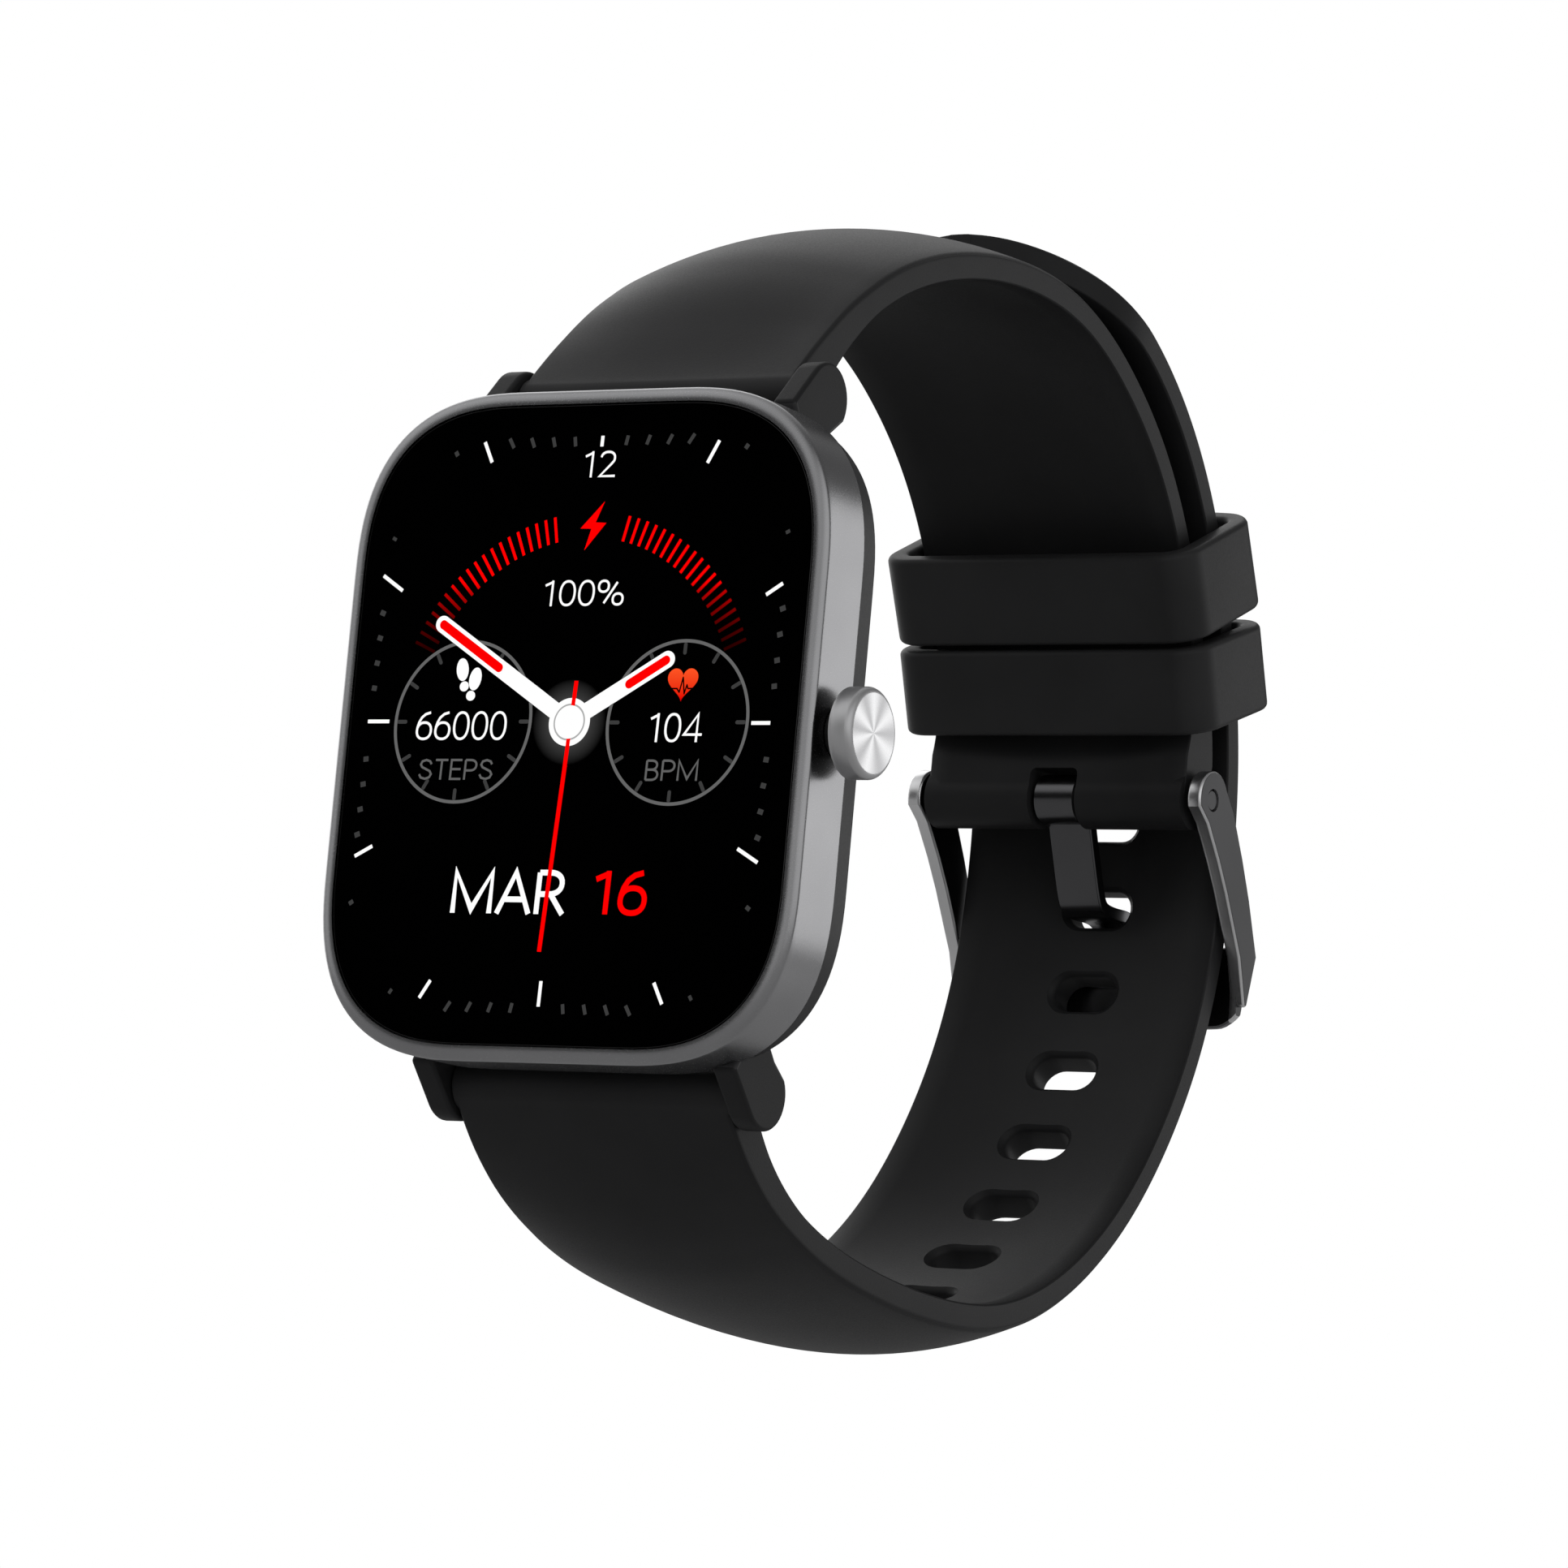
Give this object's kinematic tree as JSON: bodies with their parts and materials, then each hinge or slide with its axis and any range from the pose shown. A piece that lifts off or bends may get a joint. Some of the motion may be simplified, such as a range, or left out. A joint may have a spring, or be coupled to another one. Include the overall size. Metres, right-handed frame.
{
  "type": "smartwatch",
  "caption": "Rounded rectangular smartwatch with a turning crown and a rubber strap fastened by a pin buckle and two keepers.",
  "frame": {"origin": "middle of the sensor window's flat back face, where the watch rests on the wrist", "axes": "-Y is the way the display faces, +Z points to 12 o'clock and +X to the crown"},
  "size_m": [0.0404, 0.0774, 0.0816],
  "materials": {
    "front_glass": "polished, clear",
    "display_panel": "black panel",
    "middle_frame": "fine bead-blasted and anodised grey",
    "crown_metal": "turned and anodised grey",
    "back_cover": "dark grey, satin",
    "strap_rubber": "matt black silicone rubber",
    "keeper_rubber": "satin black silicone rubber",
    "buckle_metal": "polished dark gunmetal plating",
    "steel": "plain stainless steel",
    "sensor_glass": "polished black window",
    "seal_rubber": "black seal rubber",
    "board": "green solder mask",
    "foil": "foil and tinned sheet",
    "copper_film": "amber polyimide film",
    "gold": "gold plating",
    "led": "clear green resin",
    "switch_plastic": "black moulded plastic"
  },
  "bodies": {
    "watch": {"front_glass": "front_glass", "glass_gasket": "seal_rubber", "display_panel": "display_panel", "middle_frame": "middle_frame", "inner_chassis": "steel", "main_board": "board", "shield_can": "foil", "battery": "foil", "vibration_motor": "steel", "microphone": "foil", "display_flex": "copper_film", "crown_switch": "switch_plastic", "crown_tube": "steel", "back_cover": "back_cover", "back_seal": "seal_rubber", "sensor_window": "sensor_glass", "sensor_board": "board", "sensor_led_1": "led", "sensor_led_2": "led", "photodiode": "switch_plastic", "charge_contact_1": "gold", "charge_contact_2": "gold", "charge_magnet_1": "steel", "charge_magnet_2": "steel", "board_screw_1": "steel", "board_screw_2": "steel", "upper_strap": "strap_rubber", "lower_strap": "strap_rubber", "buckle_pin": "steel", "upper_bar_tube": "steel", "upper_bar_fixed_pin": "steel", "upper_bar_spring": "steel", "lower_bar_tube": "steel", "lower_bar_fixed_pin": "steel", "lower_bar_spring": "steel"},
    "crown_plunger": {"crown_retaining_clip": "steel", "switch_plunger": "steel"},
    "crown": {"crown_knob": "crown_metal", "crown_stem": "steel", "crown_seal": "seal_rubber"},
    "upper_release": {"upper_bar_release_pin": "steel"},
    "lower_release": {"lower_bar_release_pin": "steel"},
    "keeper_high": {"keeper_upper": "keeper_rubber"},
    "keeper_low": {"keeper_lower": "keeper_rubber"},
    "buckle": {"buckle_frame": "buckle_metal"},
    "tongue": {"buckle_tongue": "buckle_metal"}
  },
  "joints": [
    {"name": "crown_press", "type": "slide", "parent": "watch", "child": "crown_plunger", "axis": [-1, 0, 0], "range_m": [0, 0.0004], "stiffness_N_per_m": 3000, "springref_m": -0.0002},
    {"name": "crown_turn", "type": "hinge", "parent": "crown_plunger", "child": "crown", "pos_m": [0, -0.0069, -0.00013], "axis": [1, 0, 0], "continuous": true},
    {"name": "buckle_swing", "type": "hinge", "parent": "watch", "child": "buckle", "pos_m": [0, 0.0564, 0.0057], "axis": [1, 0, 0], "range_deg": [0, 75]},
    {"name": "tongue_swing", "type": "hinge", "parent": "watch", "child": "tongue", "pos_m": [0, 0.0564, 0.0057], "axis": [1, 0, 0], "range_deg": [0, 6]},
    {"name": "keeper_upper_slide", "type": "slide", "parent": "watch", "child": "keeper_high", "axis": [0, -0.4392, 0.8984], "range_m": [0, 0.002]},
    {"name": "keeper_lower_slide", "type": "slide", "parent": "watch", "child": "keeper_low", "axis": [0, -0.361, 0.9326], "range_m": [-0.0004, 0.0003]},
    {"name": "upper_bar_release", "type": "slide", "parent": "watch", "child": "upper_release", "axis": [-1, 0, 0], "range_m": [0, 0.0012], "stiffness_N_per_m": 800, "springref_m": -0.001},
    {"name": "lower_bar_release", "type": "slide", "parent": "watch", "child": "lower_release", "axis": [-1, 0, 0], "range_m": [0, 0.0012], "stiffness_N_per_m": 800, "springref_m": -0.001}
  ]
}
